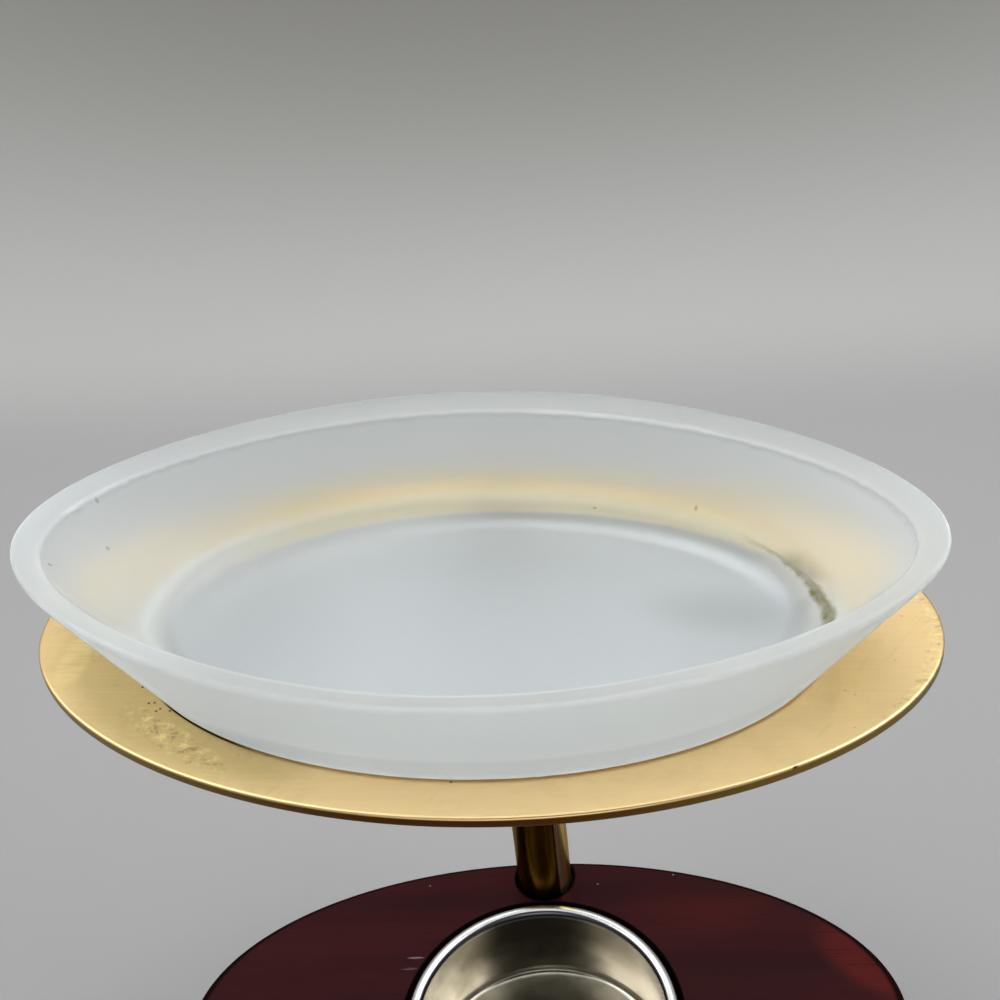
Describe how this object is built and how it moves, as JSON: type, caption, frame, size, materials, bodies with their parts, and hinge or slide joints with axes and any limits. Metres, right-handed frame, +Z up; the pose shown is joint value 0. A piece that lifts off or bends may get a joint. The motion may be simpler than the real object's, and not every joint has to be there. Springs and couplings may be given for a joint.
{
  "type": "essential oil burner",
  "caption": "Oil burner: a frosted glass dish rests on an oval brass ring that swivels on a post above a tealight cup sunk in an oval wooden base.",
  "frame": {"origin": "middle of the felt's underside, on the surface that the burner stands on", "axes": "+Z up, +X along the length of the oval base, +Y towards the post at the back"},
  "size_m": [0.1149, 0.0629, 0.124],
  "materials": {
    "felt": "matt dark felt",
    "lacquered_wood": "dark red-brown lacquer, semi-gloss",
    "cup_metal": "bright rolled rim, satin inside",
    "brass": "brushed, slightly tarnished",
    "brass_screws": "turned brass",
    "frosted_glass": "frosted all over"
  },
  "bodies": {
    "base": {"base_felt": "felt", "wooden_base": "lacquered_wood", "support_post": "brass", "post_screw": "brass_screws", "ring_screw": "brass_screws"},
    "cup": {"tealight_cup": "cup_metal"},
    "plate": {"ring_plate": "brass"},
    "dish": {"glass_dish": "frosted_glass"}
  },
  "joints": [
    {"name": "cup_lift", "type": "slide", "parent": "base", "child": "cup", "axis": [0, 0, 1], "range_m": [0, 0.03]},
    {"name": "plate_swivel", "type": "hinge", "parent": "base", "child": "plate", "pos_m": [0, 0.0276, 0.1069], "axis": [0, 0, 1], "range_deg": [-85.8, 94.2]},
    {"name": "dish_lift", "type": "slide", "parent": "plate", "child": "dish", "axis": [0, 0, 1], "range_m": [0, 0.03]}
  ]
}
